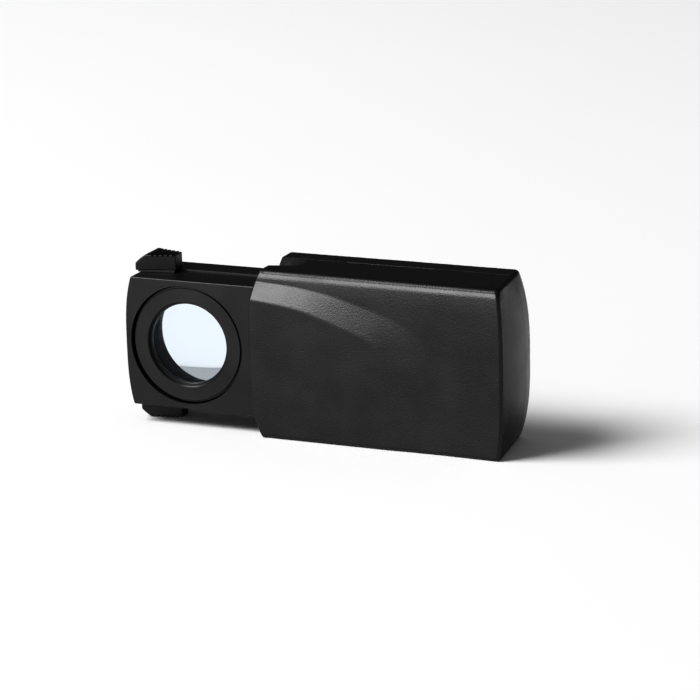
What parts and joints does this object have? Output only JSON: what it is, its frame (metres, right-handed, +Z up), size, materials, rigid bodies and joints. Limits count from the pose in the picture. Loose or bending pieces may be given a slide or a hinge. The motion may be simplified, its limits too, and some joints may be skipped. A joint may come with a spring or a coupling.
{
  "type": "pull-out illuminated jewelers loupe",
  "caption": "Flat black pocket sleeve from which a slide with a round lens in its head draws out; the lens carriage shifts to focus and a lamp lights the work.",
  "frame": {"origin": "centre of the narrow face that the sleeve stands on", "axes": "+X along the sleeve towards its closed end, -Y out of the front face, +Z up; the slide is drawn out towards -X"},
  "size_m": [0.0864, 0.0178, 0.036],
  "materials": {
    "case_black": "satin injection-moulded plastic with a very fine spark-eroded grain",
    "slide_black": "satin injection-moulded plastic, smoother than the case",
    "cell_black": "fine satin turned ring face",
    "grip_black": "satin plastic with ribs across the top",
    "ring_black": "matt black so that it throws no stray light",
    "coated_glass": "clear optical glass with a faint blue-violet coating",
    "screw_steel": "zinc-plated steel",
    "cell_steel": "nickel-plated steel can",
    "spring_steel": "bright spring steel",
    "contact_brass": "spring brass, slightly dulled",
    "lamp_epoxy": "clear epoxy lens over a yellow phosphor die",
    "board_green": "solder mask",
    "resistor_black": "ceramic chip",
    "wire_red": "insulated wire"
  },
  "bodies": {
    "sleeve": {"front_cover": "case_black", "rear_cover": "case_black", "battery_door": "case_black", "battery_door_screw": "screw_steel", "case_screw_1": "screw_steel", "case_screw_2": "screw_steel", "case_screw_3": "screw_steel", "case_screw_4": "screw_steel", "button_cell_1": "cell_steel", "button_cell_2": "cell_steel", "button_cell_3": "cell_steel", "battery_spring": "spring_steel", "battery_contact": "contact_brass", "contact_strip_upper": "contact_brass", "contact_strip_lower": "contact_brass", "friction_spring": "spring_steel"},
    "slide": {"slide_front_frame": "slide_black", "slide_rear_frame": "slide_black", "slide_screw_1": "screw_steel", "slide_screw_2": "screw_steel", "slide_screw_3": "screw_steel", "led": "lamp_epoxy", "led_board": "board_green", "series_resistor": "resistor_black", "led_wire": "wire_red", "wiper_upper": "contact_brass", "wiper_lower": "contact_brass"},
    "lens_carriage": {"lens_cell": "cell_black", "front_lens": "coated_glass", "lens_spacer": "ring_black", "rear_lens": "coated_glass", "retaining_ring": "ring_black", "top_grip": "grip_black", "bottom_grip": "grip_black"}
  },
  "joints": [
    {"name": "slide_pull", "type": "slide", "parent": "sleeve", "child": "slide", "axis": [1, 0, 0], "range_m": [0, 0.0286]},
    {"name": "lens_focus", "type": "slide", "parent": "slide", "child": "lens_carriage", "axis": [0, 1, 0], "range_m": [-0.0004, 0.0004]}
  ]
}
